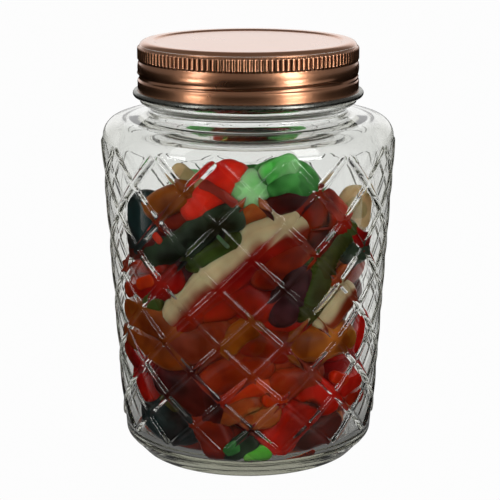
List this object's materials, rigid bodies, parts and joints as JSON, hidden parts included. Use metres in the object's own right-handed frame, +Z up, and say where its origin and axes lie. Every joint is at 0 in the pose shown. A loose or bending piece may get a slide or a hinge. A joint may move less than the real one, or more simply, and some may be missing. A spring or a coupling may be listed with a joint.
{
  "type": "glass jar of gummy worms",
  "caption": "Shut glass jar with a moulded diamond lattice and a copper screw lid, filled with gummy worms and head space above them.",
  "frame": {"origin": "middle of the jar's foot, on the surface it stands on", "axes": "+Z up along the jar's axis, -Y towards the front that the picture shows"},
  "size_m": [0.114, 0.114, 0.1628],
  "materials": {
    "clear_glass": "clear moulded glass with a faint grey-green edge",
    "copper_lid": "satin copper lacquer on pressed steel",
    "fruit_jelly": "glossy translucent fruit jelly in many colours"
  },
  "bodies": {
    "root": {"glass_jar": "clear_glass", "lid": "copper_lid", "gummy_worms": "fruit_jelly"}
  },
  "joints": []
}
